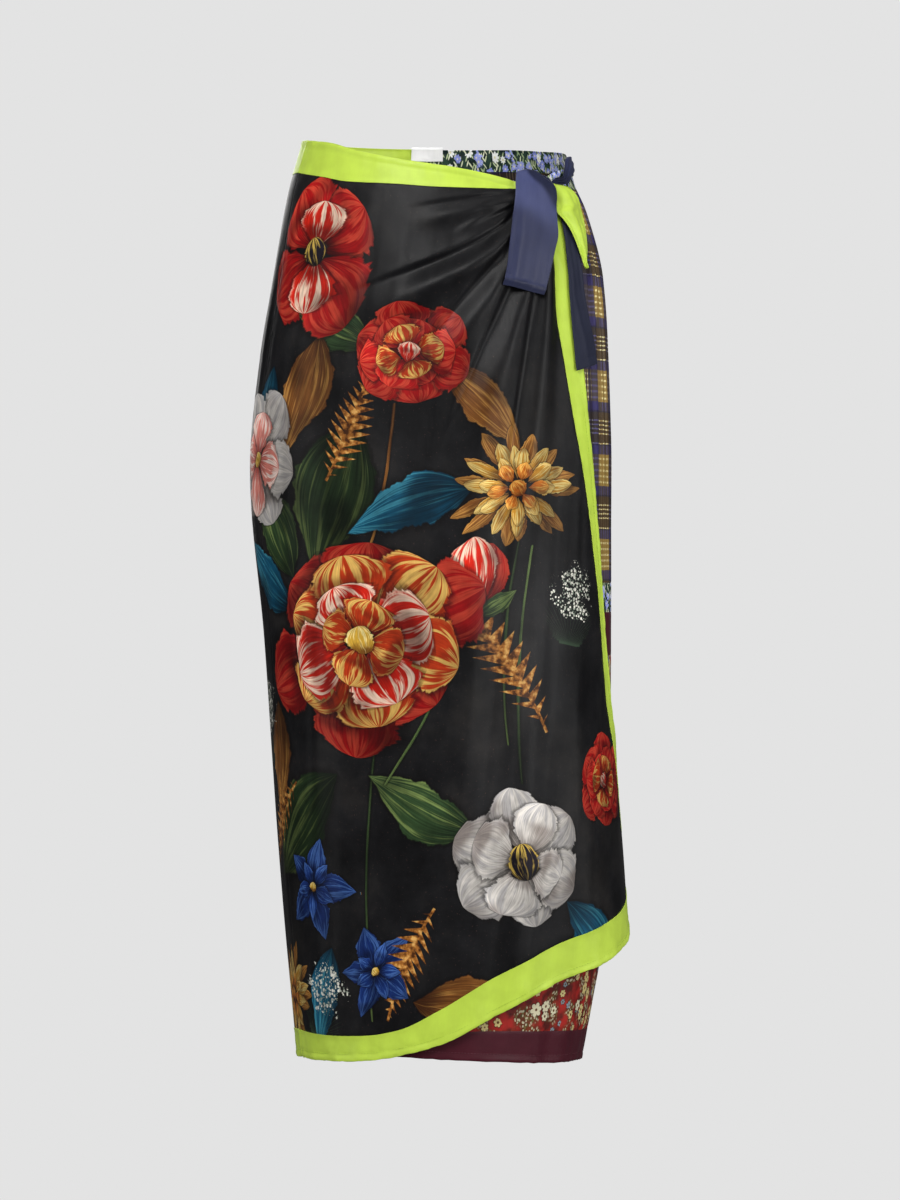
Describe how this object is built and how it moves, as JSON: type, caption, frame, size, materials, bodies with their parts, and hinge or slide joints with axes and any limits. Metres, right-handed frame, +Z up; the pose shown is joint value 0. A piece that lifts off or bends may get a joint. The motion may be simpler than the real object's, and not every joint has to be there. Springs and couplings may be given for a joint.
{
  "type": "wrap skirt",
  "caption": "Long wrap skirt held in its worn, hollow form: a bordered print panel wrapped over a patchwork panel and tied with a knot and hanging ends at the side of the waist.",
  "frame": {"origin": "middle of the waist opening, level with the top edge of the back waist", "axes": "+Z up out of the waist, -Y the front of the skirt, +X the viewer's right when looking at the front, the side where the knot is tied"},
  "size_m": [0.3791, 0.2652, 0.9218],
  "materials": {
    "black_print_silk": "satin, dark ground with a large floral print",
    "lime_silk": "satin, lime green",
    "ditsy_silk": "satin, small flowers on dark green",
    "plaid_silk": "satin, brown, navy and cream check",
    "burgundy_silk": "satin, deep burgundy",
    "red_floral_silk": "satin, small flowers on rust red",
    "navy_satin": "satin, navy, made double",
    "label_satin": "satin, white, bare"
  },
  "bodies": {
    "root": {"waist_band_front": "lime_silk", "front_panel": "black_print_silk", "edge_band": "lime_silk", "hem_band_front": "lime_silk", "waist_band_back_left": "lime_silk", "back_left_panel": "black_print_silk", "hem_band_back_left": "lime_silk", "underlap_ditsy_waist": "ditsy_silk", "underlap_plaid": "plaid_silk", "underlap_ditsy_mid": "ditsy_silk", "underlap_burgundy_mid": "burgundy_silk", "underlap_red_floral": "red_floral_silk", "underlap_burgundy_hem": "burgundy_silk", "back_right_ditsy_waist": "ditsy_silk", "back_right_plaid": "plaid_silk", "back_right_ditsy_mid": "ditsy_silk", "back_right_burgundy_mid": "burgundy_silk", "back_right_red_floral": "red_floral_silk", "back_right_burgundy_hem": "burgundy_silk", "tie_strap": "navy_satin", "tie_knot": "navy_satin", "tie_tail_front": "navy_satin", "tie_tail_side": "navy_satin", "corner_flap": "lime_silk", "label": "label_satin"}
  },
  "joints": []
}
